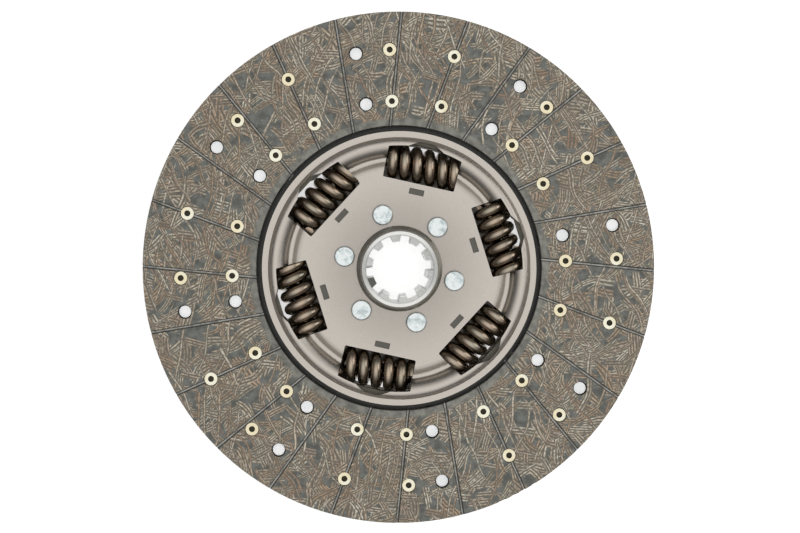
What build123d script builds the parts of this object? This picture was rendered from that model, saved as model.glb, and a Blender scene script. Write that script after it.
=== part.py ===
"""Rigid-hub clutch disc for a heavy vehicle, with cushioned facings and a torsional spring damper.

Millimetres. The origin is on the spline's axis, midway between the two friction faces.
+Z points to the front, the side on which the hub stands out less.
"""

from build123d import *
from math import cos, radians, sin, tan
import os

# Friction facings
facing_outer_dia = 430.0
facing_inner_dia = 240.0
facing_thickness = 4.0
facing_edge_chamfer = 0.4
groove_count = 24
groove_width = 2.6
groove_depth = 1.5
groove_offset = 19.4  # how far each straight groove passes from the axis
groove_start_angle = -5.7
chips = [(293.9, 5.0, 1.1), (296.7, 3.5, 0.9), (298.9, 4.5, 1.2), (301.9, 3.0, 0.8)]  # angle, radius, bite
chip_depth = 2.4

# Cushion segments
segment_count = 8
segment_angle = 30.4  # centre line of the first segment
segment_thickness = 1.0
segment_wave = 0.8  # how far the middle of each pad lies from the middle of the disc
segment_gap_angle = 1.6
segment_edge_margin = 8.0  # inside the facing's outer edge
foot_angle = 36.0
paddle_overhang = 1.2  # the folded paddle starts this far inside the facing's bore
foot_overlap = 3.0  # how far foot and paddle share one stretch
fold_run = 5.5  # length of the slope between two pads
pad_edges = [-37.5, 11.5, 33.2]  # the middles of the slopes, across the segment

# Facing rivets, by their angle from the segment's centre line
inner_rivet_margin = 20.4  # from the facing's bore
outer_rivet_margin = 31.5  # from the facing's outer edge
front_rivet_angles = [0.0, 17.1]
rear_rivet_angles = [-19.0]
rivet_shank_radius = 3.3
rivet_bore_radius = 2.55
rivet_flange_radius = 5.7
rivet_flange_thickness = 0.8
rivet_flange_chamfer = 0.3
rivet_head_radius = 5.05
rivet_head_thickness = 0.9
counterbore_radius = 6.0
facing_shoulder = 1.4  # what the counterbore leaves under a rivet's flange
rivet_hole_clearance = 0.1

# Carrier plate
carrier_thickness = 5.0
carrier_rim_width = 10.2  # the thin rim that the segments are riveted to
carrier_rim_thickness = 2.0
carrier_bore_clearance = 0.08
carrier_edge_gap = 0.05  # between the rim and the paddles
foot_step_gap = 0.8  # between the rim's step and a segment's foot
segment_rivet_margin = 3.6  # from the rim's step
segment_rivet_spread = 13.0
segment_rivet_head_radius = 2.7
segment_rivet_shank_radius = 1.7
segment_rivet_head_thickness = 1.4

# Hub
hub_front_height = 25.0
hub_rear_height = 27.0
hub_barrel_radius = 33.0
hub_seat_radius = 35.9
hub_shoulder_height = 2.4  # the cone between the plate's seat and the barrel
hub_flange_radius = 57.0
hub_flange_thickness = 13.0
hub_edge_chamfer = 1.5
spline_count = 10
spline_angle = 25.0
spline_major_radius = 28.0
spline_minor_radius = 22.6
spline_slot_width = 8.6
lead_in_margin = 0.6  # how far the lead-in cone opens past the splines
lead_in_depth = 2.6

# Guide plates
plate_thickness = 3.0
plate_hole_clearance = 0.1
plate_outer_radius = 115.0
plate_valley_drop = 2.6
plate_slope_place = -0.9  # where the slope to the valley starts, from the springs' axis
plate_slope_angle = 38.0
bead_inner_place = 6.3  # where the bead rises, from the springs' axis
rim_width = 5.3
bead_height = 6.9  # above the plate's flat face
bead_inner_draft = 3.7
bead_outer_draft = 1.6
rim_rise = 0.5
plate_bends = [9.0, 2.5, 1.4, 9.5, 5.0, 0.5]  # radii of the profile's bends, from the middle outwards

# Damper springs and their windows
spring_count = 6
spring_angle = 17.4
spring_axis_radius = 87.5
spring_length = 60.4
outer_spring_dia = 31.0
outer_wire_dia = 8.0
outer_active_turns = 4
spring_turns = [0.42, 0.25, 0.87, 0.73, 0.065, 0.38]  # how far each spring is turned about its own line
inner_spring_dia = 14.4
inner_wire_dia = 3.6
inner_active_turns = 8
closed_half_turns = 2  # at each end of a spring
coil_gap = 0.15  # between the close turns at a spring's ends
window_end_clearance = 0.2
window_lip = 0.5  # how far a window's inner side reaches in over the spring
window_flare = 0.8  # how much longer a guide plate's window is on its outer side
window_corner_radius = 1.2
bulge_height = 4.4  # above the arc of the window's ears
bulge_top_width = 12.0
bulge_base_width = 30.0
front_bulges = {n: 0.0 for n in range(spring_count)}  # window by window, how far a bulge lies off its middle
rear_bulges = {0: 0.0, 2: 7.0, 3: 0.0}
bulge_root_drop = 1.1  # the bulge starts where the ears' arc lies this far inside its middle
carrier_window_margin = 1.5
carrier_corner_radius = 1.5

# Hub rivets
hub_rivet_ring = 47.1
hub_rivet_shank_radius = 5.0
hub_rivet_head_radius = 8.6
hub_rivet_head_height = 3.6
hub_rivet_edge_radius = 1.4

# Friction rings and their tabs
ring_window_margin = 2.5  # between a ring and the spring windows
ring_width = 11.0
ring_gap = 0.05
rear_ring_thickness = 1.8
washer_thickness = 0.9
tab_margin = 4.4  # from the ring's outer edge to the middle of a tab
tab_width = 12.4
tab_depth = 4.8
tab_slot_clearance = 0.1
tab_recess = 0.8

# Sizes and places that follow from the ones above
pad_face = segment_wave + segment_thickness / 2
shoulder_face = pad_face + facing_shoulder
facing_face = pad_face + facing_thickness
flange_face = hub_flange_thickness / 2
plate_face = flange_face + plate_thickness
carrier_face = carrier_thickness / 2
segment_face = segment_thickness / 2
facing_outer_radius = facing_outer_dia / 2
facing_inner_radius = facing_inner_dia / 2
segment_inner_radius = facing_inner_radius - paddle_overhang
rivet_rings = [facing_inner_radius + inner_rivet_margin, facing_outer_radius - outer_rivet_margin]
carrier_step_radius = segment_inner_radius - carrier_rim_width
foot_inner_radius = carrier_step_radius + foot_step_gap
segment_rivet_ring = carrier_step_radius + segment_rivet_margin
sector_angle = 360 / segment_count
all_rivet_angles = front_rivet_angles + rear_rivet_angles
foot_rivet_angles = [-segment_rivet_spread, 0.0, segment_rivet_spread]
window_half_length = spring_length / 2 + window_end_clearance
window_inner_edge = spring_axis_radius - outer_spring_dia / 2 + window_lip
window_ear_radius = spring_axis_radius + outer_spring_dia / 2
bulge_top = window_ear_radius + bulge_height
plate_slope_radius = spring_axis_radius + plate_slope_place
bead_inner_radius = spring_axis_radius + bead_inner_place
bead_outer_radius = plate_outer_radius - rim_width
ring_outer_radius = window_inner_edge - ring_window_margin
ring_inner_radius = ring_outer_radius - ring_width
tab_ring = ring_outer_radius - tab_margin
window_angles = [spring_angle + i * 360 / spring_count for i in range(spring_count)]
segment_angles = [segment_angle + i * sector_angle for i in range(segment_count)]
hub_rivet_start = spring_angle + 180 / spring_count

os.makedirs("parts", exist_ok=True)


def save(part, name):
    """Label a finished piece and write it out under its own name."""
    part.label = name
    export_step(part, f"parts/{name}.step")


def polar(radius, angle):
    """A point of the plan at a radius and an angle in degrees."""
    return (radius * cos(radians(angle)), radius * sin(radians(angle)))


def rivet_points(offsets):
    """Every place of one kind of facing rivet: both rings, all segments."""
    return [polar(r, a + o) for a in segment_angles for o in offsets for r in rivet_rings]


def sector(radius, half_angle):
    """The slice of a disc that lies within half_angle of the X axis."""
    low, middle, high = (polar(radius, a) for a in (-half_angle, 0, half_angle))
    with BuildSketch() as slice_of_disc:
        with BuildLine():
            Line((0, 0), low)
            ThreePointArc(low, middle, high)
            Line(high, (0, 0))
        make_face()
    return slice_of_disc.sketch


def facing(own_rivets, other_rivets, groove_sense):
    """One friction ring, lying on the segments' upper pads."""
    middle = (facing_outer_radius + facing_inner_radius) / 2
    groove_length = facing_outer_radius - facing_inner_radius + groove_offset
    with BuildPart() as ring:
        with BuildSketch(Plane.XY.offset(pad_face)):
            Circle(facing_outer_radius)
            Circle(facing_inner_radius, mode=Mode.SUBTRACT)
        extrude(amount=facing_thickness)
        chamfer(ring.faces().sort_by(Axis.Z)[-1].edges(), facing_edge_chamfer)
        with BuildSketch(Plane.XY.offset(facing_face)):
            with PolarLocations(0, groove_count, start_angle=groove_sense * groove_start_angle):
                with Locations((middle, groove_sense * groove_offset)):
                    Rectangle(groove_length, groove_width)
        extrude(amount=-groove_depth, mode=Mode.SUBTRACT)
        with BuildSketch(Plane.XY.offset(shoulder_face)):
            with Locations(*rivet_points(own_rivets)):
                Circle(counterbore_radius)
        extrude(amount=facing_thickness, mode=Mode.SUBTRACT)
        with BuildSketch(Plane.XY.offset(pad_face)):
            with Locations(*rivet_points(own_rivets)):
                Circle(rivet_shank_radius + rivet_hole_clearance)
            with Locations(*rivet_points(other_rivets)):
                Circle(counterbore_radius)
        extrude(amount=facing_thickness, mode=Mode.SUBTRACT)
    return ring.part


def chipped(ring):
    """Break the chips that the facing shows out of its outer edge."""
    with BuildPart() as worn:
        add(ring)
        with BuildSketch(Plane.XY.offset(facing_face - chip_depth)):
            for angle, radius, bite in chips:
                with Locations(polar(facing_outer_radius + radius - bite, angle)):
                    Circle(radius)
        extrude(amount=chip_depth, mode=Mode.SUBTRACT)
    return worn.part


def cushion_segment(angle):
    """A spring-steel paddle with folds along its length, and a flat foot for the carrier."""
    outer = facing_outer_radius - segment_edge_margin
    inner = segment_inner_radius
    half_angle = (sector_angle - segment_gap_angle) / 2
    reach = outer * sin(radians(half_angle)) + fold_run
    slope_ends = [y + side * fold_run / 2 for y in pad_edges for side in (-1, 1)]
    across = [-reach, *slope_ends, reach]
    levels = [-1, -1, 1, 1, -1, -1, 1, 1]
    lower = [(y, level * segment_wave - segment_face) for y, level in zip(across, levels)]
    upper = [(y, z + segment_thickness) for y, z in reversed(lower)]
    start = inner * cos(radians(half_angle))
    with BuildPart() as segment:
        with BuildSketch(Plane.YZ.offset(start)):
            with BuildLine():
                Polyline(*lower, *upper, close=True)
            make_face()
        extrude(amount=outer - start)
        with BuildSketch(Plane.XY.offset(-pad_face)):
            add(sector(outer, half_angle))
            Circle(inner, mode=Mode.SUBTRACT)
        extrude(amount=2 * pad_face, mode=Mode.INTERSECT)
        with BuildSketch(Plane.XY.offset(-segment_face)):
            add(sector(inner + foot_overlap, foot_angle / 2))
            Circle(foot_inner_radius, mode=Mode.SUBTRACT)
        extrude(amount=segment_thickness)
        with BuildSketch(Plane.XY.offset(-pad_face)):
            with Locations(*[polar(r, o) for r in rivet_rings for o in all_rivet_angles]):
                Circle(rivet_shank_radius + rivet_hole_clearance)
            with Locations(*[polar(segment_rivet_ring, o) for o in foot_rivet_angles]):
                Circle(segment_rivet_shank_radius + rivet_hole_clearance)
        extrude(amount=2 * pad_face, mode=Mode.SUBTRACT)
    return segment.part.rotate(Axis.Z, angle)


def facing_rivets(offsets):
    """Tubular rivets: a rolled flange in the facing's counterbore, a flat head behind the segment."""
    pad_back = pad_face - segment_thickness
    grip = shoulder_face - pad_back
    with BuildPart() as rivets:
        with BuildSketch(Plane.XY.offset(shoulder_face)):
            with Locations(*rivet_points(offsets)):
                Circle(rivet_flange_radius)
        extrude(amount=rivet_flange_thickness)
        rims = rivets.faces().group_by(Axis.Z)[-1].edges()
        chamfer(rims, rivet_flange_chamfer)
        with BuildSketch(Plane.XY.offset(pad_back)):
            with Locations(*rivet_points(offsets)):
                Circle(rivet_shank_radius)
        extrude(amount=grip)
        with BuildSketch(Plane.XY.offset(pad_back)):
            with Locations(*rivet_points(offsets)):
                Circle(rivet_head_radius)
        extrude(amount=-rivet_head_thickness)
        with BuildSketch(Plane.XY.offset(pad_back)):
            with Locations(*rivet_points(offsets)):
                Circle(rivet_bore_radius)
        extrude(amount=grip + rivet_flange_thickness, mode=Mode.SUBTRACT)
    return rivets.part


def guide_plate(bulges):
    """The pressed plate over the springs: flat middle, valley, hollow bead and flat rim."""
    valley = plate_face - plate_valley_drop
    slope_run = plate_valley_drop / tan(radians(plate_slope_angle))
    bead_top = plate_face + bead_height
    rim = plate_face + rim_rise
    with BuildPart() as plate:
        with BuildSketch(Plane.XZ):
            with BuildLine():
                FilletPolyline(
                    (hub_seat_radius + plate_hole_clearance, plate_face),
                    (plate_slope_radius, plate_face),
                    (plate_slope_radius + slope_run, valley),
                    (bead_inner_radius, valley),
                    (bead_inner_radius + bead_inner_draft, bead_top),
                    (bead_outer_radius - bead_outer_draft, bead_top),
                    (bead_outer_radius, rim),
                    (plate_outer_radius, rim),
                    radius=plate_bends,
                )
                offset(amount=plate_thickness, side=Side.RIGHT)
            make_face()
        revolve(axis=Axis.Z)
        with BuildSketch(Plane.XY):
            for number, angle in enumerate(window_angles):
                add(plate_window(bulges.get(number)).rotate(Axis.Z, angle))
            with PolarLocations(0, spring_count, start_angle=spring_angle):
                with Locations((tab_ring, 0)):
                    Rectangle(tab_depth + 2 * tab_slot_clearance, tab_width + 2 * tab_slot_clearance)
            with PolarLocations(hub_rivet_ring, spring_count, start_angle=hub_rivet_start):
                Circle(hub_rivet_shank_radius + rivet_hole_clearance)
        extrude(amount=bead_top, mode=Mode.SUBTRACT)
    return plate.part


def plate_window(bulge_shift):
    """A spring window of a guide plate: straight inner side, flared ends, a bulge in the bead or none."""
    inner_half = window_half_length
    outer_half = window_half_length + window_flare
    with BuildSketch() as window:
        with BuildLine():
            Polyline(
                (window_inner_edge, -inner_half),
                (window_ear_radius, -outer_half),
                (window_ear_radius, outer_half),
                (window_inner_edge, inner_half),
                close=True,
            )
        make_face()
        Circle(window_ear_radius, mode=Mode.INTERSECT)
        corners = window.vertices().group_by(Axis.X)[0]
        fillet(corners, window_corner_radius)
        if bulge_shift is not None:
            with Locations((0, bulge_shift)):
                add(bulge())
    return window.sketch


def bulge():
    """The room for the coils' tops, cut into the bead outside a window."""
    root = window_ear_radius - bulge_root_drop
    with BuildSketch() as room:
        with BuildLine():
            Polyline(
                (spring_axis_radius, -bulge_base_width / 2),
                (root, -bulge_base_width / 2),
                (bulge_top, -bulge_top_width / 2),
                (bulge_top, bulge_top_width / 2),
                (root, bulge_base_width / 2),
                (spring_axis_radius, bulge_base_width / 2),
                close=True,
            )
        make_face()
    return room.sketch


def coil_spring(outer_dia, wire_dia, active_turns, hand):
    """A round-wire spring along Z about the origin, wound in tilted half turns, closed and ground.

    The first and last full turns lie close, a coil_gap apart. hand is 1 for right and -1 for left.
    """
    coil_radius = (outer_dia - wire_dia) / 2
    closed_rise = (wire_dia + coil_gap) / 2
    closed_end = [closed_rise] * closed_half_turns
    open_rise = (spring_length - 2 * sum(closed_end)) / (2 * active_turns)
    rises = closed_end + [open_rise] * (2 * active_turns) + closed_end
    level = -spring_length / 2
    side = 1
    with BuildPart() as spring:
        for rise in rises:
            with BuildSketch(Plane((side * coil_radius, 0, level), x_dir=(1, 0, 0), z_dir=(0, -1, 0))):
                Circle(wire_dia / 2)
            turning = Axis((0, 0, level + rise / 2), (rise * side * hand / 2, 0, hand * coil_radius))
            revolve(axis=turning, revolution_arc=180)
            level += rise
            side = -side
        with BuildSketch(Plane.XY.offset(-spring_length / 2)):
            Circle(outer_dia)
        extrude(amount=spring_length, mode=Mode.INTERSECT)
    return spring.part


def tabs(height):
    """Upright tabs that stand in the slots of a guide plate."""
    with BuildSketch(Plane.XY.offset(height)) as feet:
        with PolarLocations(tab_ring, spring_count, start_angle=spring_angle):
            Rectangle(tab_depth, tab_width)
    return feet.sketch


# Hub: one forging with its flange, plate seats and splined bore
with BuildPart() as hub:
    with BuildSketch(Plane.XZ):
        with BuildLine():
            cone_foot = plate_face + hub_shoulder_height
            Polyline(
                (spline_minor_radius, -hub_rear_height),
                (hub_barrel_radius, -hub_rear_height),
                (hub_barrel_radius, -cone_foot),
                (hub_seat_radius, -plate_face),
                (hub_seat_radius, -flange_face),
                (hub_flange_radius, -flange_face),
                (hub_flange_radius, flange_face),
                (hub_seat_radius, flange_face),
                (hub_seat_radius, plate_face),
                (hub_barrel_radius, cone_foot),
                (hub_barrel_radius, hub_front_height),
                (spline_minor_radius, hub_front_height),
                close=True,
            )
        make_face()
    revolve(axis=Axis.Z)
    ends = hub.faces().filter_by(GeomType.PLANE).sort_by(Axis.Z)
    chamfer([ends[0].outer_wire().edges(), ends[-1].outer_wire().edges()], hub_edge_chamfer)
    with BuildSketch(Plane.XY.offset(-hub_rear_height)):
        with PolarLocations(0, spline_count, start_angle=spline_angle + 180 / spline_count):
            with Locations((spline_major_radius, 0)):
                Rectangle(2 * spline_major_radius, spline_slot_width)
        Circle(spline_major_radius, mode=Mode.INTERSECT)
    extrude(amount=hub_rear_height + hub_front_height, mode=Mode.SUBTRACT)
    for face_height, depth in ((hub_front_height, -lead_in_depth), (-hub_rear_height, lead_in_depth)):
        with BuildSketch(Plane.XZ):
            with BuildLine():
                Polyline(
                    (0, face_height),
                    (spline_major_radius + lead_in_margin, face_height),
                    (spline_minor_radius + lead_in_margin, face_height + depth),
                    (0, face_height + depth),
                    close=True,
                )
            make_face()
        revolve(axis=Axis.Z, mode=Mode.SUBTRACT)
    with PolarLocations(hub_rivet_ring, spring_count, start_angle=hub_rivet_start):
        Hole(hub_rivet_shank_radius + rivet_hole_clearance)
save(hub.part, "hub")

# Guide plates, back to back; the rear one has fewer bulges
save(guide_plate(front_bulges), "front_guide_plate")
save(mirror(guide_plate(rear_bulges), about=Plane.XY), "rear_guide_plate")

# Carrier plate: runs on the hub's flange and holds the springs' ends, with a thin rim for the segments
with BuildPart() as carrier_plate:
    with BuildSketch(Plane.XY.offset(-carrier_face)):
        Circle(segment_inner_radius - carrier_edge_gap)
    extrude(amount=carrier_rim_thickness)
    with BuildSketch(Plane.XY.offset(-carrier_face)):
        Circle(carrier_step_radius)
    extrude(amount=carrier_thickness)
    with BuildSketch(Plane.XY.offset(-carrier_face)) as carrier_openings:
        with PolarLocations(spring_axis_radius, spring_count, start_angle=spring_angle):
            RectangleRounded(
                outer_spring_dia + 2 * carrier_window_margin,
                2 * window_half_length,
                carrier_corner_radius,
            )
        Circle(hub_flange_radius + carrier_bore_clearance)
        for angle in segment_angles:
            with Locations(*[polar(segment_rivet_ring, angle + o) for o in foot_rivet_angles]):
                Circle(segment_rivet_shank_radius + rivet_hole_clearance)
    extrude(amount=carrier_thickness, mode=Mode.SUBTRACT)
save(carrier_plate.part, "carrier_plate")

# Cushion segments, one by one
for number, angle in enumerate(segment_angles, 1):
    save(cushion_segment(angle), f"cushion_segment_{number}")

# Rivets that hold the segments' feet on the carrier's rim
with BuildPart() as segment_rivets:
    rim_back = -carrier_face
    rivet_places = [polar(segment_rivet_ring, a + o) for a in segment_angles for o in foot_rivet_angles]
    with BuildSketch(Plane.XY.offset(rim_back)):
        with Locations(*rivet_places):
            Circle(segment_rivet_shank_radius)
    extrude(amount=segment_face - rim_back)
    with BuildSketch(Plane.XY.offset(segment_face)):
        with Locations(*rivet_places):
            Circle(segment_rivet_head_radius)
    extrude(amount=segment_rivet_head_thickness)
    with BuildSketch(Plane.XY.offset(rim_back)):
        with Locations(*rivet_places):
            Circle(segment_rivet_head_radius)
    extrude(amount=-segment_rivet_head_thickness)
save(segment_rivets.part, "segment_rivets")

# Facings and their rivets; the rear ones are made on the front side and mirrored
save(chipped(facing(front_rivet_angles, rear_rivet_angles, 1)), "front_facing")
save(mirror(facing(rear_rivet_angles, front_rivet_angles, -1), about=Plane.XY), "rear_facing")
save(facing_rivets(front_rivet_angles), "front_facing_rivets")
save(mirror(facing_rivets(rear_rivet_angles), about=Plane.XY), "rear_facing_rivets")

# Hub rivets: button heads on both guide plates
with BuildPart() as hub_rivets:
    with BuildSketch(Plane.XZ):
        head_top = plate_face + hub_rivet_head_height
        with BuildLine():
            Polyline(
                (0, -head_top),
                (hub_rivet_head_radius, -head_top),
                (hub_rivet_head_radius, -plate_face),
                (hub_rivet_shank_radius, -plate_face),
                (hub_rivet_shank_radius, plate_face),
                (hub_rivet_head_radius, plate_face),
                (hub_rivet_head_radius, head_top),
                (0, head_top),
                close=True,
            )
        make_face()
    revolve(axis=Axis.Z)
    crowns = hub_rivets.faces().sort_by(Axis.Z)
    fillet([crowns[0].edges(), crowns[-1].edges()], hub_rivet_edge_radius)
one_rivet = hub_rivets.part
with BuildPart() as all_hub_rivets:
    with PolarLocations(hub_rivet_ring, spring_count, start_angle=hub_rivet_start):
        add(one_rivet)
save(all_hub_rivets.part, "hub_rivets")

# Front friction ring, keyed to the front guide plate by its tabs
with BuildPart() as front_friction_ring:
    with BuildSketch(Plane.XY.offset(carrier_face + ring_gap)):
        Circle(ring_outer_radius)
        Circle(ring_inner_radius, mode=Mode.SUBTRACT)
    extrude(amount=flange_face - carrier_face - ring_gap)
    add(tabs(flange_face))
    extrude(amount=plate_thickness - tab_recess)
save(front_friction_ring.part, "front_friction_ring")

# Rear friction ring, pressed on the carrier by the cone washer behind it
rear_ring_face = carrier_face + ring_gap + rear_ring_thickness
with BuildPart() as rear_friction_ring:
    with BuildSketch(Plane.XY.offset(-rear_ring_face)):
        Circle(ring_outer_radius)
        Circle(ring_inner_radius, mode=Mode.SUBTRACT)
    extrude(amount=rear_ring_thickness)
save(rear_friction_ring.part, "rear_friction_ring")

# Cone washer: its inner edge bears on the ring, its outer edge on the plate, its tabs in the slots
with BuildPart() as cone_washer:
    with BuildSketch(Plane.XZ):
        with BuildLine():
            Polyline(
                (ring_inner_radius, -rear_ring_face),
                (ring_inner_radius, -rear_ring_face - washer_thickness),
                (ring_outer_radius, -flange_face),
                (ring_outer_radius, -flange_face + washer_thickness),
                close=True,
            )
        make_face()
    revolve(axis=Axis.Z)
    add(tabs(-plate_face + tab_recess))
    extrude(amount=plate_face - tab_recess - rear_ring_face - washer_thickness)
save(cone_washer.part, "cone_washer")

# Damper springs, each outer one with a thinner one of the other hand inside it
outer_spring = coil_spring(outer_spring_dia, outer_wire_dia, outer_active_turns, 1)
inner_spring = coil_spring(inner_spring_dia, inner_wire_dia, inner_active_turns, -1)
for number, (angle, turn) in enumerate(zip(window_angles, spring_turns), 1):
    place = Plane(
        origin=(*polar(spring_axis_radius, angle), 0),
        x_dir=(*polar(1, angle), 0),
        z_dir=(*polar(1, angle + 90), 0),
    )
    save(place.location * outer_spring.rotate(Axis.Z, turn * 360), f"outer_spring_{number}")
    save(place.location * inner_spring.rotate(Axis.Z, turn * 360), f"inner_spring_{number}")
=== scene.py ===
from math import atan2, ceil, cos, degrees, hypot, pi, radians, sin, sqrt

import bpy
from mathutils import Matrix, Vector


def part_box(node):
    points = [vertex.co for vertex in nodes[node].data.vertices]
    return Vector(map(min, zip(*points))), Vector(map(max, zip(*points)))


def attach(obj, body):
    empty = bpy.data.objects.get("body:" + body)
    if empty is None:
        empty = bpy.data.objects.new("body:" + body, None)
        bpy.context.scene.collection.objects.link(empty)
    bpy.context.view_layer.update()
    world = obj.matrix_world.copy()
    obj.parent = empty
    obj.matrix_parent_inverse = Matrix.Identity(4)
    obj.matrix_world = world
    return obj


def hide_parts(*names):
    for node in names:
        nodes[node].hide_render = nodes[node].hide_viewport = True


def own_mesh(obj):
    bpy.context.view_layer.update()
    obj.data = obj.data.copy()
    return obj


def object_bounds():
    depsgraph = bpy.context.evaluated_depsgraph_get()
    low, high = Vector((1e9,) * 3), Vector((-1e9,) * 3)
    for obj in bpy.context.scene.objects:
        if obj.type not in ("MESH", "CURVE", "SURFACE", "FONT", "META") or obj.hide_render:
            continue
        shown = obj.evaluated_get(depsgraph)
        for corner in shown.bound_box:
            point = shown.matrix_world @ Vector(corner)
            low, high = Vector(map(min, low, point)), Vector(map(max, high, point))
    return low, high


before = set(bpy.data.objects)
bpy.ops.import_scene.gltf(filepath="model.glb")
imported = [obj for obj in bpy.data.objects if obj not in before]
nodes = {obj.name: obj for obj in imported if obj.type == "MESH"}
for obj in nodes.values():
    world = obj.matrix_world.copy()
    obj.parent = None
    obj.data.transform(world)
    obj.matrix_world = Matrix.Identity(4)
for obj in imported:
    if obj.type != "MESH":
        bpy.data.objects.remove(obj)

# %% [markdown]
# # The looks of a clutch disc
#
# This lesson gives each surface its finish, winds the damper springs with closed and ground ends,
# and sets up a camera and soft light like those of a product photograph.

cad_low, cad_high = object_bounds()
scene = bpy.context.scene
scene.view_settings.view_transform = "Standard"
bpy.ops.object.select_all(action="DESELECT")
mm = 0.001
disc_radius = cad_high[0]
facing_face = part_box("front_facing")[1][2]
hub_low, hub_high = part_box("hub")
spring_centres = {
    name: (Vector(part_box(name)[0]) + Vector(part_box(name)[1])) / 2
    for name in nodes if "_spring_" in name
}
first_centre = spring_centres["outer_spring_1"]
spring_angle = degrees(atan2(first_centre.y, first_centre.x))


def polar(radius, angle, height=0.0):
    """A point at a radius in metres and an angle in degrees about the spline's axis."""
    return Vector((radius * cos(radians(angle)), radius * sin(radians(angle)), height))


print("disc radius", round(disc_radius, 4), "facing face at", round(facing_face, 4))

# %% [markdown]
# ## The camera
#
# The disc lies on the end of its hub and is photographed from straight above with a long lens.
# The hub stands nearer to the lens than the facings do, and in the photograph it is shifted a
# little to the lower right of their centre. So the lens can't be exactly on the axis: it is a
# small step up and to the left of it. A tracked camera would turn its top towards the world's Z,
# which rolls a view from above, so the turn is put together from three axes, with +Y of the disc
# up in the picture.

# %% Camera
photo_width = 800
photo_diameter = 511.9  # pixels across the facings in the photograph
camera_distance = 1.60
camera_step = 0.0701  # how far the lens is from the axis, sideways
camera_side = Vector((-0.588, 0.809, 0.0))
aim = Vector((0.0006, 0.0016, facing_face))
sensor_width = 36.0

bpy.ops.object.camera_add()
camera = bpy.context.object
camera.name = "product_camera"
camera_height = sqrt(camera_distance**2 - camera_step**2)
camera.location = camera_side * camera_step + Vector((0.0, 0.0, camera_height + facing_face))
backward = (camera.location - aim).normalized()
sideways = Vector((0.0, 1.0, 0.0)).cross(backward).normalized()
upward = backward.cross(sideways)
camera.rotation_euler = Matrix((sideways, upward, backward)).transposed().to_euler()
camera.data.sensor_width = sensor_width
camera.data.lens = sensor_width * camera_distance * photo_diameter / photo_width / (2 * disc_radius)
scene.camera = camera
print("lens", round(camera.data.lens, 2), "mm")

# %% [markdown]
# ## Helpers for node trees
#
# The sky, the floor and every finish here are worked out by nodes from a place or a direction, so
# no picture is needed. A few short functions keep the node trees readable: one adds a node with
# its settings, one makes a step of arithmetic, and one starts a material.

# %% Node helpers


def add_node(tree, kind, **settings):
    """Adds a node to a tree and sets its properties by name."""
    node = tree.nodes.new(kind)
    for name, value in settings.items():
        setattr(node, name, value)
    return node


def plug(tree, source, socket):
    """Joins an output to an input, or writes a plain value into the input."""
    if isinstance(source, bpy.types.NodeSocket):
        tree.links.new(source, socket)
    else:
        socket.default_value = source


def math_step(tree, operation, first, second=0.0, third=0.0, clamp=False):
    """One step of arithmetic; returns its output socket."""
    node = add_node(tree, "ShaderNodeMath", operation=operation, use_clamp=clamp)
    for socket, source in zip(node.inputs, (first, second, third)):
        plug(tree, source, socket)
    return node.outputs[0]


def vector_step(tree, operation, first, second=None, third=None):
    """One step of vector arithmetic; returns the node."""
    node = add_node(tree, "ShaderNodeVectorMath", operation=operation)
    for socket, source in zip(node.inputs, (first, second, third)):
        if source is not None:
            plug(tree, source, socket)
    return node


def split(tree, vector):
    """The X, Y and Z of a vector as a node's outputs."""
    node = add_node(tree, "ShaderNodeSeparateXYZ")
    plug(tree, vector, node.inputs[0])
    return node.outputs


def smooth_step(tree, value, low, high, start=0.0, end=1.0):
    """start below low, end above high, and a soft change between them."""
    node = add_node(tree, "ShaderNodeMapRange", interpolation_type="SMOOTHSTEP")
    sources = {"Value": value, "From Min": low, "From Max": high, "To Min": start, "To Max": end}
    for name, source in sources.items():
        plug(tree, source, node.inputs[name])
    return node.outputs["Result"]


def place_coordinates(tree):
    """The place of the shaded point in the disc's own frame, in metres."""
    return add_node(tree, "ShaderNodeTexCoord").outputs["Object"]


def radius_and_height(tree, place):
    """How far a point is from the axis and how high it lies, as two sockets."""
    parts = split(tree, place)
    flat = add_node(tree, "ShaderNodeCombineXYZ")
    plug(tree, parts["X"], flat.inputs["X"])
    plug(tree, parts["Y"], flat.inputs["Y"])
    return vector_step(tree, "LENGTH", flat.outputs[0]).outputs["Value"], parts["Z"]


def start_material(name):
    """A new node material; returns the material, its tree and its shader."""
    material = bpy.data.materials.new(name)
    material.use_nodes = True
    return material, material.node_tree, material.node_tree.nodes["Principled BSDF"]


print("node helpers are ready")

# %% [markdown]
# ## The light
#
# The photograph has one large soft light above, a weaker one on the right, and a white surround.
# Here the world itself is the large light: bright overhead and dark towards the horizon, so each
# spring wire gets a calm sheen along its middle and dark edges. A wide lamp low on the right
# lifts the slopes that face it, as the photograph shows them.

# %% Lamp and world
softbox_size = 1.1
softbox_watts = 5.0
sky_strength = 1.45
sky_low = 0.10  # below this height the sky stays at its darkest
sky_shades = ((0.45, 0.09), (0.70, 0.36), (0.90, 0.80))  # height in the sky and its shade
sky_darkest = (0.03, 0.03, 0.03, 1.0)
sky_zenith = (0.98, 0.99, 1.0, 1.0)

bpy.ops.object.light_add(type="AREA", location=(1.5, 0.5, 0.9))
softbox = bpy.context.object
softbox.name = "right_softbox"
softbox.data.size = softbox_size
softbox.data.energy = softbox_watts
softbox.rotation_euler = (-softbox.location).to_track_quat("-Z", "Y").to_euler()

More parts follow.
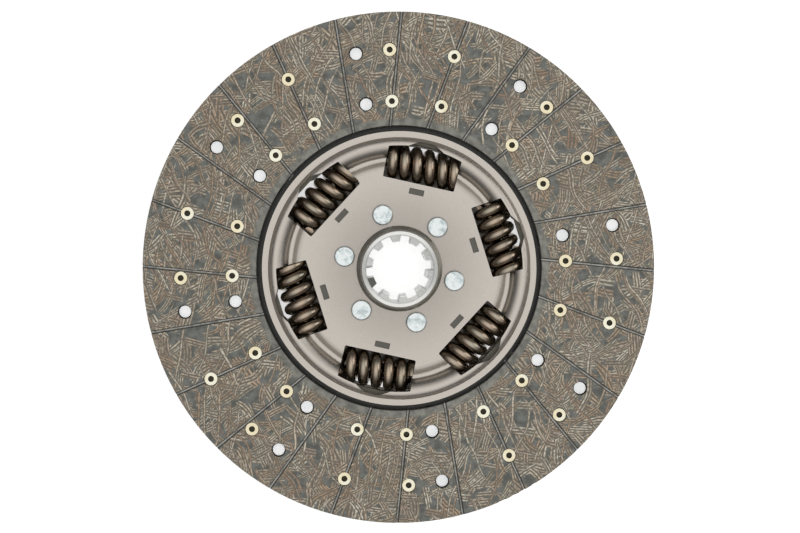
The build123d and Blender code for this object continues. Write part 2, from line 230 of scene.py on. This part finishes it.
world = bpy.data.worlds.new("studio")
scene.world = world
world.use_nodes = True
sky = world.node_tree
direction = add_node(sky, "ShaderNodeTexCoord").outputs["Generated"]
sky_ramp = add_node(sky, "ShaderNodeValToRGB")
shades = sky_ramp.color_ramp
shades.interpolation = "B_SPLINE"
shades.elements[0].position = sky_low
shades.elements[0].color = sky_darkest
shades.elements[1].position = 1.0
shades.elements[1].color = sky_zenith
for position, shade in sky_shades:
    shades.elements.new(position).color = (shade, shade, shade, 1.0)
plug(sky, split(sky, direction)["Z"], sky_ramp.inputs["Fac"])
plug(sky, sky_ramp.outputs["Color"], sky.nodes["Background"].inputs["Color"])
plug(sky, sky_strength, sky.nodes["Background"].inputs["Strength"])
print("the sky has", len(shades.elements), "shades from the horizon to the zenith")

# %% [markdown]
# ## The floor
#
# The floor is plain white paper. Light Path makes it show white to the lens, in reflections and
# through glass, and it still takes the disc's shadow. Under the disc hardly any light comes in,
# so the paper doesn't glow there, apart from what the bore lets through and six round patches
# below the outer bulges of the spring windows. Without this shade, bright paper would show
# between the coils.

# %% Floor
floor_size = 8.0
bore_light_radius = 0.0586  # the bore lights the paper up to here
under_disc_radius = 0.2070  # and from here the open side lights it
bulge_light_radius = 0.1075  # where light comes down through the windows' bulges
bulge_light_reach = 0.0150
glow_strength = 0.66
window_count = 6

bpy.ops.mesh.primitive_plane_add(size=floor_size, location=(0.0, 0.0, hub_low[2]))
floor = bpy.context.object
floor.name = "paper_floor"

paper, tree, shader = start_material("white_paper")
plug(tree, (0.86, 0.86, 0.86, 1.0), shader.inputs["Base Color"])
plug(tree, 0.9, shader.inputs["Roughness"])
plug(tree, (1.0, 1.0, 1.0, 1.0), shader.inputs["Emission Color"])
rays = add_node(tree, "ShaderNodeLightPath").outputs
seen = math_step(tree, "MAXIMUM", rays["Is Camera Ray"], rays["Is Glossy Ray"])
seen = math_step(tree, "MAXIMUM", seen, rays["Is Transmission Ray"])
place = place_coordinates(tree)
from_axis = vector_step(tree, "LENGTH", place).outputs["Value"]
lit = math_step(
    tree, "MAXIMUM",
    math_step(tree, "LESS_THAN", from_axis, bore_light_radius),
    math_step(tree, "GREATER_THAN", from_axis, under_disc_radius),
)
for index in range(window_count):
    patch_middle = polar(bulge_light_radius, spring_angle + index * 360.0 / window_count)
    away = vector_step(tree, "DISTANCE", place, patch_middle).outputs["Value"]
    lit = math_step(tree, "MAXIMUM", lit, math_step(tree, "LESS_THAN", away, bulge_light_reach))
glow = math_step(tree, "MULTIPLY", seen, math_step(tree, "MULTIPLY", lit, glow_strength))
plug(tree, glow, shader.inputs["Emission Strength"])
floor.data.materials.append(paper)
print("floor at", round(hub_low[2], 4), "with", window_count, "patches of light below the windows")

# %% [markdown]
# ## Effects that several finishes share
#
# Real metal is never one even colour. `handled_metal` makes slow cloudy changes, fine grain and a
# few small dark specks, which the plates, hub, rivets and springs all use with their own amounts.
# `yarn_patch` lays short bundles of parallel yarns that run roughly one way, each in a long cell
# of a random pattern. The facings stack eight of these in different directions, as the real ones
# are wound from yarn before they are pressed and ground.

# %% Helpers for finishes


def mix_colour(tree, factor, first, second):
    """Blends two colours by a factor."""
    node = add_node(tree, "ShaderNodeMix", data_type="RGBA")
    plug(tree, factor, node.inputs["Factor"])
    plug(tree, first, node.inputs[6])
    plug(tree, second, node.inputs[7])
    return node.outputs[2]


def noise(tree, vector, scale, detail=2.0, roughness=0.5):
    """The factor of a noise texture; scale is in waves per metre."""
    node = add_node(tree, "ShaderNodeTexNoise")
    plug(tree, vector, node.inputs["Vector"])
    plug(tree, scale, node.inputs["Scale"])
    plug(tree, detail, node.inputs["Detail"])
    plug(tree, roughness, node.inputs["Roughness"])
    return node.outputs["Fac"]


def new_group(name, inputs, outputs):
    """A shader node group from (name, kind, default) and (name, kind), with its own sockets."""
    group = bpy.data.node_groups.new(name, "ShaderNodeTree")
    for title, kind, default in inputs:
        socket = group.interface.new_socket(title, in_out="INPUT", socket_type=kind)
        if default is not None:
            socket.default_value = default
    for title, kind in outputs:
        group.interface.new_socket(title, in_out="OUTPUT", socket_type=kind)
    given = group.nodes.new("NodeGroupInput").outputs
    result = group.nodes.new("NodeGroupOutput").inputs
    return group, given, result


print("finish helpers are ready")

# %% Group: handled metal
cloud_scale = 55.0
grain_scale = 900.0
speck_scale = 420.0
speck_darkness = 0.12

group, given, result = new_group(
    "handled_metal",
    [
        ("Vector", "NodeSocketVector", None),
        ("Colour", "NodeSocketColor", (0.5, 0.5, 0.5, 1.0)),
        ("Cloud Amount", "NodeSocketFloat", 0.1),
        ("Grain Amount", "NodeSocketFloat", 0.1),
        ("Roughness", "NodeSocketFloat", 0.4),
    ],
    [
        ("Colour", "NodeSocketColor"),
        ("Roughness", "NodeSocketFloat"),
        ("Height", "NodeSocketFloat"),
    ],
)
handled_metal = group
clouds = noise(group, given["Vector"], cloud_scale, 3.0, 0.55)
grain = noise(group, given["Vector"], grain_scale, 3.0, 0.7)
specks = smooth_step(group, noise(group, given["Vector"], speck_scale, 1.0), 0.70, 0.78)
cloud_shift = math_step(group, "SUBTRACT", clouds, 0.5)
cloud_shift = math_step(group, "MULTIPLY", cloud_shift, given["Cloud Amount"])
grain_shift = math_step(group, "SUBTRACT", grain, 0.5)
grain_shift = math_step(group, "MULTIPLY", grain_shift, given["Grain Amount"])
brightness = math_step(group, "ADD", math_step(group, "ADD", cloud_shift, grain_shift), 1.0)
speck_shade = math_step(group, "MULTIPLY", specks, speck_darkness)
brightness = math_step(group, "SUBTRACT", brightness, speck_shade)
scaled = vector_step(group, "SCALE", given["Colour"])
plug(group, brightness, scaled.inputs["Scale"])
rougher = math_step(group, "MULTIPLY_ADD", grain_shift, 1.5, given["Roughness"])
rougher = math_step(group, "MULTIPLY_ADD", cloud_shift, 0.8, rougher, clamp=True)
plug(group, scaled.outputs[0], result["Colour"])
plug(group, rougher, result["Roughness"])
plug(group, grain, result["Height"])
print("handled_metal has", len(group.nodes), "nodes")

# %% Group: one layer of yarn bundles
group, given, result = new_group(
    "yarn_patch",
    [
        ("Vector", "NodeSocketVector", None),
        ("Direction", "NodeSocketFloat", 0.0),
        ("Shift", "NodeSocketFloat", 0.0),
        ("Bundle Length", "NodeSocketFloat", 0.03),
        ("Bundle Width", "NodeSocketFloat", 0.007),
        ("Yarn Gap", "NodeSocketFloat", 0.0019),
        ("Share", "NodeSocketFloat", 0.4),
    ],
    [("Patch", "NodeSocketFloat"), ("Line", "NodeSocketFloat"), ("Tint", "NodeSocketFloat")],
)
yarn_patch = group

# the layer's place is shifted, turned to its direction and measured in bundles
moved = vector_step(group, "ADD", given["Vector"], given["Shift"]).outputs[0]
turned = add_node(group, "ShaderNodeVectorRotate", rotation_type="Z_AXIS")
plug(group, moved, turned.inputs["Vector"])
plug(group, given["Direction"], turned.inputs["Angle"])
sides = split(group, turned.outputs[0])
bundle_place = add_node(group, "ShaderNodeCombineXYZ")
for side, size in (("X", "Bundle Length"), ("Y", "Bundle Width")):
    plug(group, math_step(group, "DIVIDE", sides[side], given[size]), bundle_place.inputs[side])

# each cell of the pattern is one bundle, with three chances of its own
cells = add_node(group, "ShaderNodeTexVoronoi", voronoi_dimensions="2D", feature="F1")
plug(group, 1.0, cells.inputs["Scale"])
plug(group, bundle_place.outputs[0], cells.inputs["Vector"])
from_middle = vector_step(group, "SUBTRACT", bundle_place.outputs[0], cells.outputs["Position"])
in_cell = split(group, from_middle.outputs[0])
chances = add_node(group, "ShaderNodeSeparateColor")
plug(group, cells.outputs["Color"], chances.inputs[0])

# the bundle runs out softly at its ends and sides, and its yarns lie side by side
run_out = smooth_step(group, math_step(group, "ABSOLUTE", in_cell["X"]), 0.36, 0.46, 1.0, 0.0)
edge_out = smooth_step(group, math_step(group, "ABSOLUTE", in_cell["Y"]), 0.38, 0.46, 1.0, 0.0)
across = math_step(group, "MULTIPLY", in_cell["Y"], given["Bundle Width"])
phase = math_step(group, "ADD", math_step(group, "DIVIDE", across, given["Yarn Gap"]), 0.5)
ridge = math_step(group, "SUBTRACT", math_step(group, "FRACT", phase), 0.5)
yarn_line = smooth_step(group, math_step(group, "ABSOLUTE", ridge), 0.10, 0.36, 1.0, 0.0)
present = math_step(group, "LESS_THAN", chances.outputs["Red"], given["Share"])
bundle_mask = math_step(group, "MULTIPLY", math_step(group, "MULTIPLY", run_out, edge_out), present)
strength = math_step(group, "MULTIPLY_ADD", chances.outputs["Blue"], 0.5, 0.5)
plug(group, bundle_mask, result["Patch"])
plug(group, math_step(group, "MULTIPLY", yarn_line, strength), result["Line"])
plug(group, chances.outputs["Green"], result["Tint"])
print("yarn_patch has", len(group.nodes), "nodes")

# %% [markdown]
# ## The friction facings
#
# A facing is wound from yarn with brass wire and cotton, soaked in resin, pressed and ground
# flat. The ground face shows the cut yarns as short bundles of parallel pale and tan strokes that
# cross each other in every direction on a grey resin, and a plain band along the bore. A drawn
# picture could show it, but strokes worked out from the place stay sharp at any distance. Each
# layer below has bundles that run roughly one way, and eight layers lie over each other.

# %% Placing groups and materials


def use_group(tree, group, **values):
    """Places a group in a tree; values go to its inputs by name, with _ for a space."""
    node = add_node(tree, "ShaderNodeGroup", node_tree=group)
    for name, source in values.items():
        plug(tree, source, node.inputs[name.replace("_", " ")])
    return node


def bump(tree, shader, heights, distance, strength):
    """Turns a height of 0 to 1 into a bump of that many metres on the shader."""
    node = add_node(tree, "ShaderNodeBump")
    plug(tree, strength, node.inputs["Strength"])
    plug(tree, distance, node.inputs["Distance"])
    plug(tree, heights, node.inputs["Height"])
    plug(tree, node.outputs["Normal"], shader.inputs["Normal"])


def dress(material, *names):
    """Gives CAD nodes a material in place of the plain one they came with."""
    for name in names:
        slots = nodes[name].data.materials
        slots.clear()
        slots.append(material)
    print(material.name, "is on", ", ".join(names))


def drift(tree, place, scale, reach):
    """A place moved a little to and fro, which turns straight lines into gently bent ones."""
    waves = add_node(tree, "ShaderNodeTexNoise")
    plug(tree, place, waves.inputs["Vector"])
    plug(tree, scale, waves.inputs["Scale"])
    plug(tree, 0.0, waves.inputs["Detail"])
    reaches = (reach, reach, 0.0)
    return vector_step(tree, "MULTIPLY_ADD", waves.outputs["Color"], reaches, place).outputs[0]


print("materials can be placed")

# %% Facing material
resin_colour = (0.205, 0.212, 0.192, 1.0)
resin_dark = (0.118, 0.120, 0.104, 1.0)
band_dark = (0.170, 0.168, 0.146, 1.0)
band_pale = (0.325, 0.322, 0.28, 1.0)
yarn_pale = (0.92, 0.86, 0.70, 1.0)
yarn_tan = (0.66, 0.45, 0.28, 1.0)
yarn_brown = (0.52, 0.32, 0.20, 1.0)
yarn_green = (0.56, 0.52, 0.36, 1.0)
between_yarns = (0.180, 0.155, 0.118, 1.0)
glint_colour = (0.60, 0.56, 0.47, 1.0)
band_end = (0.1270, 0.1300)  # the plain band fades out between these radii
band_raggedness = 5.0 * mm
layer_turn = 2.39996  # radians from one layer to the next, so that no two layers run alike
layer_shift = 0.371

facing_material, tree, shader = start_material("wound_facing")
place = place_coordinates(tree)
radius, level = radius_and_height(tree, place)
ragged = math_step(tree, "MULTIPLY_ADD", noise(tree, place, 220.0, 2.0), band_raggedness, radius)
in_yarn = smooth_step(tree, ragged, *band_end)
mottle = noise(tree, place, 150.0, 4.0, 0.6)
resin = mix_colour(tree, smooth_step(tree, mottle, 0.32, 0.66), resin_dark, resin_colour)
band = mix_colour(tree, smooth_step(tree, mottle, 0.3, 0.7), band_dark, band_pale)
colour = mix_colour(tree, in_yarn, band, resin)
fibre = smooth_step(tree, noise(tree, place, 360.0, 2.0, 0.7), 0.36, 0.60, 0.16, 1.0)
bent_places = [drift(tree, place, 24.0, 0.018), drift(tree, place, 37.0, 0.013)]
# each layer: its bundles' length and width, its yarns' gap, the share of cells used, its first tint
layers = (
    (0.036, 0.0078, 0.00225, 0.36, yarn_tan),
    (0.025, 0.0060, 0.00210, 0.34, yarn_green),
    (0.029, 0.0086, 0.00240, 0.36, yarn_brown),
    (0.033, 0.0064, 0.00220, 0.36, yarn_tan),
    (0.022, 0.0068, 0.00235, 0.36, yarn_brown),
    (0.028, 0.0056, 0.00200, 0.32, yarn_tan),
    (0.060, 0.0029, 0.00220, 0.28, yarn_tan),
    (0.052, 0.0027, 0.00220, 0.26, yarn_brown),
)
for index, (length, width, gap, share, first_tint) in enumerate(layers):
    layer = use_group(
        tree, yarn_patch, Vector=bent_places[index % 2],
        Direction=index * layer_turn, Shift=index * layer_shift,
        Bundle_Length=length, Bundle_Width=width, Yarn_Gap=gap, Share=share,
    ).outputs
    tint = mix_colour(tree, layer["Tint"], first_tint, yarn_pale)
    line = math_step(tree, "MULTIPLY", layer["Line"], fibre)
    patch = math_step(tree, "MULTIPLY", layer["Patch"], in_yarn)
    colour = mix_colour(tree, patch, colour, mix_colour(tree, line, between_yarns, tint))
glints = smooth_step(tree, noise(tree, place, 520.0, 2.0, 0.7), 0.66, 0.74)
colour = mix_colour(tree, math_step(tree, "MULTIPLY", glints, in_yarn), colour, glint_colour)
print("the facing has", len(layers), "layers of yarn")

# %% [markdown]
# ## The grooves' own shades
#
# The grooves are real geometry, but their looks come from here: painted light makes their floor
# paler, and painted shade makes their walls and edges darker. Each groove is a straight strip that
# passes the axis at `groove_offset`. Folding the angle about the axis finds the nearest strip, and
# then the distance from its middle. The rear facing is the front one's mirror image, so its Y is
# flipped first.

# %% Groove shades
groove_count = 24
groove_offset = 19.4 * mm
groove_start = radians(-5.7)
# painted shade on the groove walls and painted light on the groove floor
groove_painted_shade = (0.050, 0.048, 0.040, 1.0)
groove_floor_painted_light = (0.55, 0.54, 0.50, 1.0)
lit_floor_offset = 0.15 * mm

parts = split(tree, place)
flipped = math_step(tree, "MULTIPLY", parts["Y"], math_step(tree, "SIGN", level))
turn = math_step(tree, "ARCTAN2", flipped, parts["X"])
lean = math_step(tree, "ARCSINE", math_step(tree, "DIVIDE", groove_offset, radius))
folded = math_step(tree, "SUBTRACT", math_step(tree, "SUBTRACT", turn, lean), groove_start)
folded = math_step(tree, "WRAP", folded, pi / groove_count, -pi / groove_count)
across = math_step(tree, "SINE", math_step(tree, "ADD", folded, lean))
across = math_step(tree, "MULTIPLY", radius, across)
across = math_step(tree, "SUBTRACT", across, groove_offset)
in_groove = smooth_step(tree, math_step(tree, "ABSOLUTE", across), 1.35 * mm, 1.75 * mm, 1.0, 0.0)
from_lit_floor = math_step(tree, "ABSOLUTE", math_step(tree, "ADD", across, lit_floor_offset))
lit_floor = smooth_step(tree, from_lit_floor, 0.35 * mm, 0.75 * mm, 1.0, 0.0)
patchy = smooth_step(tree, noise(tree, place, 140.0, 3.0, 0.7), 0.32, 0.6, 0.35, 1.0)
# painted shade darkens the grooves, and painted light brightens a strip of their floor
colour = mix_colour(tree, math_step(tree, "MULTIPLY", in_groove, 0.85), colour, groove_painted_shade)
colour = mix_colour(tree, math_step(tree, "MULTIPLY", lit_floor, patchy), colour, groove_floor_painted_light)
plug(tree, colour, shader.inputs["Base Color"])
plug(tree, smooth_step(tree, mottle, 0.3, 0.8, 0.72, 0.55), shader.inputs["Roughness"])
bump(tree, shader, mottle, 0.12 * mm, 0.8)
dress(facing_material, "front_facing", "rear_facing")

# %% [markdown]
# ## The pressed plates
#
# The guide plates are phosphated steel: a warm grey with a satin sheen, and painted shade makes
# them a little darker round the hub. They need no new geometry, only a metal that is slightly
# cloudy, with a fine grain that breaks the reflections. The function that feeds a shader from
# `handled_metal` serves every metal after this one.

# %% Plate material


def metal_finish(
    tree, shader, place, colour, cloud, fine, roughness, metallic, relief=0.04 * mm, strength=0.7
):
    """Feeds a shader from the shared metal effect and gives it a fine relief."""
    metal = use_group(
        tree, handled_metal, Vector=place, Colour=colour, Cloud_Amount=cloud, Grain_Amount=fine,
        Roughness=roughness,
    ).outputs
    plug(tree, metal["Colour"], shader.inputs["Base Color"])
    plug(tree, metal["Roughness"], shader.inputs["Roughness"])
    plug(tree, metallic, shader.inputs["Metallic"])
    bump(tree, shader, metal["Height"], relief, strength)


# painted shade: the plate is coloured darker near the hub, where the hub and its rivets shade it
plate_painted_hub_shade = (0.375, 0.340, 0.303, 1.0)
plate_outside = (0.475, 0.433, 0.387, 1.0)
hub_shade_radii = (0.037, 0.082)  # the shade changes between these radii

plate_material, tree, shader = start_material("phosphated_plate")
place = place_coordinates(tree)
radius = radius_and_height(tree, place)[0]
# painted shade darkens the plate towards the hub
colour = mix_colour(tree, smooth_step(tree, radius, *hub_shade_radii), plate_painted_hub_shade, plate_outside)
metal_finish(tree, shader, place, colour, 0.16, 0.34, 0.34, 0.92, 0.03 * mm, 0.6)
dress(plate_material, "front_guide_plate", "rear_guide_plate")

# %% [markdown]
# ## The other steels
#
# The carrier plate, the cushion segments and the friction rings are oiled dark steel and are seen
# only through gaps. Painted shade makes the carrier and the segments darker further out, in the
# gap beside the facings. The solid rivets are zinc, in soft clouds of two shades. One recipe serves
# them all with its own colours, given plainly, by radius or by cloud.

# %% Steels and zinc


def by_radius(start, end, inner, outer):
    """A colour that changes softly between two distances from the axis, for steel()."""
    return lambda tree, place: mix_colour(
        tree, smooth_step(tree, radius_and_height(tree, place)[0], start, end), inner, outer
    )


def by_cloud(scale, low, high, first, second):
    """A colour in soft clouds of two shades, for steel()."""
    return lambda tree, place: mix_colour(
        tree, smooth_step(tree, noise(tree, place, scale, 3.0, 0.6), low, high), first, second
    )


def steel(name, colour, roughness, metallic, cloud, fine, *targets):
    """A steel finish from the shared metal effect, given to CAD nodes."""
    material, tree, shader = start_material(name)
    place = place_coordinates(tree)
    shade = colour(tree, place) if callable(colour) else colour
    metal_finish(tree, shader, place, shade, cloud, fine, roughness, metallic)
    dress(material, *targets)


segment_nodes = [name for name in nodes if name.startswith("cushion_segment")]
ring_nodes = ("front_friction_ring", "rear_friction_ring", "cone_washer")
# painted shade: the carrier and the segments are coloured darker further out, where they lie in the
# shaded gap beside the facings
carrier_with_painted_shade = by_radius(0.1095, 0.1110, (0.16, 0.15, 0.115, 1.0), (0.040, 0.040, 0.037, 1.0))
segment_with_painted_shade = by_radius(0.1155, 0.1195, (0.045, 0.045, 0.041, 1.0), (0.014, 0.014, 0.012, 1.0))
tab_colour = (0.125, 0.118, 0.10, 1.0)
zinc_clouds = by_cloud(150.0, 0.34, 0.56, (0.42, 0.47, 0.475, 1.0), (0.68, 0.72, 0.71, 1.0))
head_clouds = by_cloud(170.0, 0.30, 0.50, (0.68, 0.70, 0.70, 1.0), (0.88, 0.88, 0.87, 1.0))
steel("oiled_carrier", carrier_with_painted_shade, 0.5, 0.5, 0.3, 0.3, "carrier_plate")
steel("tempered_segment", segment_with_painted_shade, 0.5, 0.4, 0.3, 0.3, *segment_nodes)
steel("grey_tab", tab_colour, 0.5, 0.4, 0.3, 0.5, *ring_nodes)
steel("bright_zinc", zinc_clouds, 0.30, 0.8, 0.3, 0.5, "hub_rivets")
steel("white_zinc", head_clouds, 0.30, 0.7, 0.2, 0.3, "segment_rivets")

# %% [markdown]
# ## The tubular rivets
#
# The facings are held by tubular rivets. Those of the front facing are brass-plated and show a
# pale rolled ring round a dark bore; those of the rear facing are zinc-plated and turn their
# plain heads to the front. Painted shade makes the colour dark between the ring's face and the
# head, by height, so that the bore looks as deep as the real one.

# %% Tubular rivet materials
ring_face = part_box("front_facing_rivets")[1][2]
head_depth = 0.25 * mm  # a head lies further than this on the other side of the middle plane
# painted shade: the bore is coloured dark below the ring's face, as shade in a deep hole
bore_painted_shade = (0.024, 0.020, 0.008, 1.0)
plating_scale = 60.0


def rivet_finish(name, side, first, second, target):
    """A tubular rivet rolled over on one side (1 front, -1 rear): two shades and a bore darkened by
    painted shade.
    """
    material, tree, shader = start_material(name)
    place = place_coordinates(tree)
    level = math_step(tree, "MULTIPLY", radius_and_height(tree, place)[1], float(side))
    on_ring = smooth_step(tree, level, ring_face - 0.55 * mm, ring_face - 0.1 * mm)
    on_head = smooth_step(tree, level, -head_depth - 0.1 * mm, -head_depth + 0.1 * mm, 1.0, 0.0)
    plating = smooth_step(tree, noise(tree, place, plating_scale, 1.0), 0.35, 0.6)
    bright = math_step(tree, "MAXIMUM", on_ring, on_head)
    # painted shade darkens the bore
    colour = mix_colour(tree, bright, bore_painted_shade, mix_colour(tree, plating, first, second))
    metal_finish(tree, shader, place, colour, 0.2, 0.5, 0.32, 0.6)
    dress(material, target)


brass_pale = (0.87, 0.84, 0.68, 1.0)
brass_warm = (0.82, 0.73, 0.50, 1.0)
zinc_pale = (0.87, 0.87, 0.86, 1.0)
zinc_grey = (0.80, 0.81, 0.81, 1.0)
rivet_finish("pale_brass", 1, brass_pale, brass_warm, "front_facing_rivets")
rivet_finish("white_zinc_rivet", -1, zinc_pale, zinc_grey, "rear_facing_rivets")

# %% [markdown]
# ## The hub
#
# The hub is a forging that was machined only where it fits something: its end face and the
# splines are bright, and the cone down to the plate keeps its dark skin. One material tells them
# apart by the distance from the axis. The turned end face has fine rings and a painted sheen that
# is lightest above and below the bore, and painted shade darkens one tooth.

# %% Hub material
barrel_radius = 33.0 * mm
ring_scale = 1500.0
face_painted_dark_sides = (0.44, 0.44, 0.42, 1.0)
# painted sheen: the end face is coloured lighter above and below the bore and darker at its sides
face_painted_sheen = (0.76, 0.75, 0.72, 1.0)
ring_shade = (0.25, 0.25, 0.24, 1.0)
spline_bright = (0.86, 0.86, 0.83, 1.0)
# painted shade: the spline teeth at one place are coloured dark
tooth_painted_shade = (0.09, 0.09, 0.075, 1.0)
forged_skin = (0.42, 0.40, 0.345, 1.0)
tooth_shade_angle = 197.0

hub_material, tree, shader = start_material("forged_hub")
place = place_coordinates(tree)
radius = radius_and_height(tree, place)[0]
outside = smooth_step(tree, radius, barrel_radius - 1.6 * mm, barrel_radius - 1.3 * mm)
end_face = smooth_step(tree, radius, barrel_radius - 5.6 * mm, barrel_radius - 4.2 * mm)
upright = math_step(tree, "ABSOLUTE", math_step(tree, "DIVIDE", split(tree, place)["Y"], radius))
# painted sheen, lightest where the face lies above or below the bore
painted_sheen_share = smooth_step(tree, upright, 0.15, 0.95)
rings = add_node(tree, "ShaderNodeTexNoise", noise_dimensions="1D")
plug(tree, radius, rings.inputs["W"])
plug(tree, ring_scale, rings.inputs["Scale"])
ring_share = smooth_step(tree, rings.outputs["Fac"], 0.40, 0.62, 0.35, 0.0)
face_colour = mix_colour(tree, painted_sheen_share, face_painted_dark_sides, face_painted_sheen)
face_colour = mix_colour(tree, ring_share, face_colour, ring_shade)
# painted shade on the teeth round this point
tooth_shade_middle = polar(barrel_radius - 7.0 * mm, tooth_shade_angle, hub_high[2])
from_tooth_shade = vector_step(tree, "DISTANCE", place, tooth_shade_middle).outputs["Value"]
tooth_shaded = smooth_step(tree, from_tooth_shade, 8.0 * mm, 12.0 * mm, 1.0, 0.0)
bore_colour = mix_colour(tree, tooth_shaded, spline_bright, tooth_painted_shade)
colour = mix_colour(tree, end_face, bore_colour, face_colour)
colour = mix_colour(tree, outside, colour, forged_skin)
metallic = smooth_step(tree, end_face, 0.0, 1.0, 0.25, 0.85)
metal_finish(tree, shader, place, colour, 0.3, 0.4, 0.33, metallic)
dress(hub_material, "hub")

# %% [markdown]
# ## The damper springs
#
# A damper spring's end coils are wound close and ground flat, which a plain helix doesn't show.
# Here the wire's line is worked out turn by turn with a pitch that closes at both ends, given its
# thickness as a curve's bevel, and the ends are then ground by cutting the mesh along two planes
# and filling the cut. The spring is made once for each size, copied, and stood in its window.

# %% Winding a spring
spring_length = 60.4 * mm
coil_gap = 0.15 * mm  # between the close turns at the ends
closed_turns = 1.0  # at each end


def wind_spring(name, outer_dia, wire_dia, free_turns, hand, points_per_turn, sides):
    """A closed and ground coil spring along Z about the origin, as a mesh object."""
    closed_pitch = wire_dia + coil_gap
    turns = free_turns + 2 * closed_turns
    rise = spring_length - 2 * closed_turns * closed_pitch
    coil_radius = (outer_dia - wire_dia) / 2
    count = ceil(turns * points_per_turn) + 1
    curve = bpy.data.curves.new(name, "CURVE")
    curve.dimensions = "3D"
    curve.bevel_depth = wire_dia / 2
    curve.bevel_resolution = sides // 4 - 1
    curve.use_fill_caps = True
    line = curve.splines.new("POLY")
    line.points.add(count - 1)
    for index in range(count):
        turn = turns * index / (count - 1)
        lower = min(turn, closed_turns) * closed_pitch
        upper = max(0.0, turn - closed_turns - free_turns) * closed_pitch
        middle = min(max(turn - closed_turns, 0.0), free_turns) / free_turns
        height = lower + middle * rise + upper - spring_length / 2
        swing = hand * 2 * pi * turn
        line.points[index].co = (coil_radius * cos(swing), coil_radius * sin(swing), height, 1.0)
    spring = bpy.data.objects.new(name, curve)
    scene.collection.objects.link(spring)
    bpy.ops.object.select_all(action="DESELECT")
    bpy.context.view_layer.objects.active = spring
    spring.select_set(True)
    bpy.ops.object.convert(target="MESH")
    spring = bpy.context.object
    for side in (-1, 1):
        bpy.ops.object.mode_set(mode="EDIT")
        bpy.ops.mesh.select_all(action="SELECT")
        bpy.ops.mesh.bisect(
            plane_co=(0.0, 0.0, side * spring_length / 2), plane_no=(0.0, 0.0, side),
            use_fill=True, clear_outer=True,
        )
        bpy.ops.object.mode_set(mode="OBJECT")
    bpy.ops.object.shade_smooth_by_angle(angle=radians(40.0))
    print(name, "has", len(spring.data.polygons), "faces")
    return spring


def stand_in_window(master, number, kind, material, tilt):
    """A copy of a spring, turned about its own line by tilt and laid in its window."""
    node_name = f"{kind}_{number}"
    centre = spring_centres[node_name]
    angle = atan2(centre.y, centre.x)
    outward = Vector((cos(angle), sin(angle), 0.0))
    onward = Vector((-sin(angle), cos(angle), 0.0))
    spring = master.copy()
    spring.data = master.data.copy()
    spring.name = f"wound_{node_name}"
    scene.collection.objects.link(spring)
    axes = Matrix((outward, onward.cross(outward), onward)).transposed().to_4x4()
    spring.data.transform(Matrix.Translation(centre) @ axes @ Matrix.Rotation(tilt, 4, "Z"))
    spring.data.materials.clear()
    spring.data.materials.append(material)
    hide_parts(node_name)
    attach(spring, "springs")
    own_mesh(spring)


# %% Spring materials
scale_patches = 70.0


def wire_finish(name, warm, cool):
    """Oil-quenched wire: a brown and a greyer scale in soft patches, with a sharp sheen."""
    material, tree, shader = start_material(name)
    place = place_coordinates(tree)
    patches = smooth_step(tree, noise(tree, place, scale_patches, 2.0), 0.4, 0.65)
    colour = mix_colour(tree, patches, warm, cool)
    metal_finish(tree, shader, place, colour, 0.4, 0.35, 0.23, 1.0, 0.03 * mm, 0.6)
    return material


outer_wire = wire_finish("quenched_wire", (0.39, 0.31, 0.235, 1.0), (0.34, 0.295, 0.23, 1.0))
# painted shade: the inner springs get a darker copy of the outer wire's colours, as they lie in the
# outer coils' shade
inner_wire_painted_shade = wire_finish("quenched_inner_wire", (0.16, 0.13, 0.10, 1.0), (0.13, 0.12, 0.095, 1.0))
print("wires:", outer_wire.name, "and", inner_wire_painted_shade.name)

# %% The twelve springs
outer_master = wind_spring("outer_master", 31.0 * mm, 9.0 * mm, 3.9, 1, 40, 16)
inner_master = wind_spring("inner_master", 12.4 * mm, 3.4 * mm, 8.0, -1, 28, 12)
spring_turns = (0.46, 0.41, 0.60, 0.55, 0.825, 0.30)  # read from the coils in the photograph
for number, share in enumerate(spring_turns, 1):
    stand_in_window(outer_master, number, "outer_spring", outer_wire, 2 * pi * share)
    stand_in_window(inner_master, number, "inner_spring", inner_wire_painted_shade, 2 * pi * share)
for master in (outer_master, inner_master):
    bpy.data.objects.remove(master)
print(2 * len(spring_turns), "springs stand in their windows")
